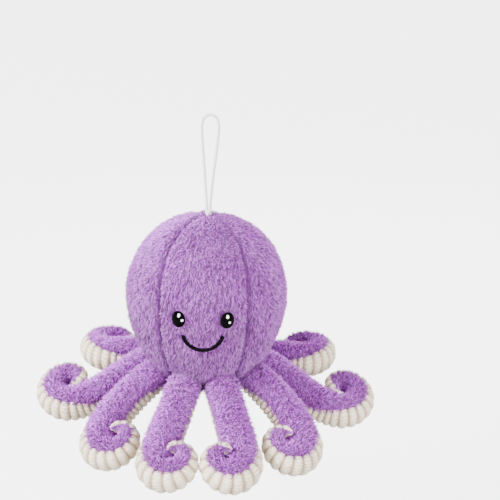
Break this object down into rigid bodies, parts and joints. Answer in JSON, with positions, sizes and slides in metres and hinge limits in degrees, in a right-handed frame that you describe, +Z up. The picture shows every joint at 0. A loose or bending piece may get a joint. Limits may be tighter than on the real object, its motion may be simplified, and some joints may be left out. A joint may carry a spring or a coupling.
{
  "type": "plush octopus",
  "caption": "Plush octopus with a round seamed head, glossy eyes, a stitched smile and curled tentacles with ribbed soles, hung from a loop of cord.",
  "frame": {"origin": "top of the hanging loop, where it is held", "axes": "+Z up along the hanging cord, -Y towards the face, +X towards the toy's own left"},
  "size_m": [0.216, 0.1441, 0.2061],
  "materials": {
    "head_plush": "short-pile plush, brushed downwards",
    "tentacle_plush": "shaggy short-pile plush",
    "cream_chenille": "soft chenille ribs across the sole",
    "fibre_filling": "loose fibre stuffing",
    "gloss_black_eye": "polished",
    "washer_plastic": "moulded",
    "black_thread": "embroidery thread",
    "white_cord": "twisted cord"
  },
  "bodies": {
    "loop": {"hang_loop": "white_cord"},
    "knot": {"loop_knot": "white_cord"},
    "tails": {"loop_tails": "white_cord"},
    "head": {"head_panel_front": "head_plush", "head_panel_left_front": "head_plush", "head_panel_left_back": "head_plush", "head_panel_back": "head_plush", "head_panel_right_back": "head_plush", "head_panel_right_front": "head_plush", "base_panel": "head_plush", "head_filling": "fibre_filling", "eye_left": "gloss_black_eye", "eye_right": "gloss_black_eye", "eye_washer_left": "washer_plastic", "eye_washer_right": "washer_plastic", "smile": "black_thread"},
    "tentacle_front_left": {"tentacle_front_left_top": "tentacle_plush", "tentacle_front_left_sole": "cream_chenille", "tentacle_front_left_filling": "fibre_filling"},
    "tentacle_front_right": {"tentacle_front_right_top": "tentacle_plush", "tentacle_front_right_sole": "cream_chenille", "tentacle_front_right_filling": "fibre_filling"},
    "tentacle_fore_left": {"tentacle_fore_left_top": "tentacle_plush", "tentacle_fore_left_sole": "cream_chenille", "tentacle_fore_left_filling": "fibre_filling"},
    "tentacle_fore_right": {"tentacle_fore_right_top": "tentacle_plush", "tentacle_fore_right_sole": "cream_chenille", "tentacle_fore_right_filling": "fibre_filling"},
    "tentacle_side_left": {"tentacle_side_left_top": "tentacle_plush", "tentacle_side_left_sole": "cream_chenille", "tentacle_side_left_filling": "fibre_filling"},
    "tentacle_side_right": {"tentacle_side_right_top": "tentacle_plush", "tentacle_side_right_sole": "cream_chenille", "tentacle_side_right_filling": "fibre_filling"},
    "tentacle_rear_left": {"tentacle_rear_left_top": "tentacle_plush", "tentacle_rear_left_sole": "cream_chenille", "tentacle_rear_left_filling": "fibre_filling"},
    "tentacle_rear_right": {"tentacle_rear_right_top": "tentacle_plush", "tentacle_rear_right_sole": "cream_chenille", "tentacle_rear_right_filling": "fibre_filling"}
  },
  "joints": [
    {"name": "cord_twist", "type": "hinge", "parent": "loop", "child": "knot", "pos_m": [0, 0, -0.06], "axis": [0, 0, 1], "range_deg": [-180, 180], "stiffness_Nm_per_rad": 0.001},
    {"name": "sway_sideways", "type": "hinge", "parent": "knot", "child": "tails", "pos_m": [0, 0, -0.06], "axis": [0, 1, 0], "range_deg": [-25, 25]},
    {"name": "swing_forwards", "type": "hinge", "parent": "tails", "child": "head", "pos_m": [0, 0, -0.06], "axis": [1, 0, 0], "range_deg": [-25, 25]},
    {"name": "tentacle_front_left_lift", "type": "hinge", "parent": "head", "child": "tentacle_front_left", "pos_m": [0.00995, -0.02402, -0.1567], "axis": [-0.8988, -0.4384, 0], "range_deg": [-4, 25], "stiffness_Nm_per_rad": 0.2},
    {"name": "tentacle_front_right_lift", "type": "hinge", "parent": "head", "child": "tentacle_front_right", "pos_m": [-0.00995, -0.02402, -0.1567], "axis": [-0.8988, 0.4384, 0], "range_deg": [-4, 25], "stiffness_Nm_per_rad": 0.2},
    {"name": "tentacle_fore_left_lift", "type": "hinge", "parent": "head", "child": "tentacle_fore_left", "pos_m": [0.02402, -0.00995, -0.1567], "axis": [-0.4067, -0.9135, 0], "range_deg": [-12, 12], "stiffness_Nm_per_rad": 0.2},
    {"name": "tentacle_fore_right_lift", "type": "hinge", "parent": "head", "child": "tentacle_fore_right", "pos_m": [-0.02402, -0.00995, -0.1567], "axis": [-0.4067, 0.9135, 0], "range_deg": [-12, 12], "stiffness_Nm_per_rad": 0.2},
    {"name": "tentacle_side_left_lift", "type": "hinge", "parent": "head", "child": "tentacle_side_left", "pos_m": [0.02402, 0.00995, -0.1567], "axis": [0.225, -0.9744, 0], "range_deg": [-20, 10], "stiffness_Nm_per_rad": 0.2},
    {"name": "tentacle_side_right_lift", "type": "hinge", "parent": "head", "child": "tentacle_side_right", "pos_m": [-0.02402, 0.00995, -0.1567], "axis": [0.225, 0.9744, 0], "range_deg": [-20, 10], "stiffness_Nm_per_rad": 0.2},
    {"name": "tentacle_rear_left_lift", "type": "hinge", "parent": "head", "child": "tentacle_rear_left", "pos_m": [0.00995, 0.02402, -0.1567], "axis": [0.7133, -0.7009, 0], "range_deg": [-14, 10], "stiffness_Nm_per_rad": 0.2},
    {"name": "tentacle_rear_right_lift", "type": "hinge", "parent": "head", "child": "tentacle_rear_right", "pos_m": [-0.00995, 0.02402, -0.1567], "axis": [0.7133, 0.7009, 0], "range_deg": [-14, 10], "stiffness_Nm_per_rad": 0.2}
  ]
}
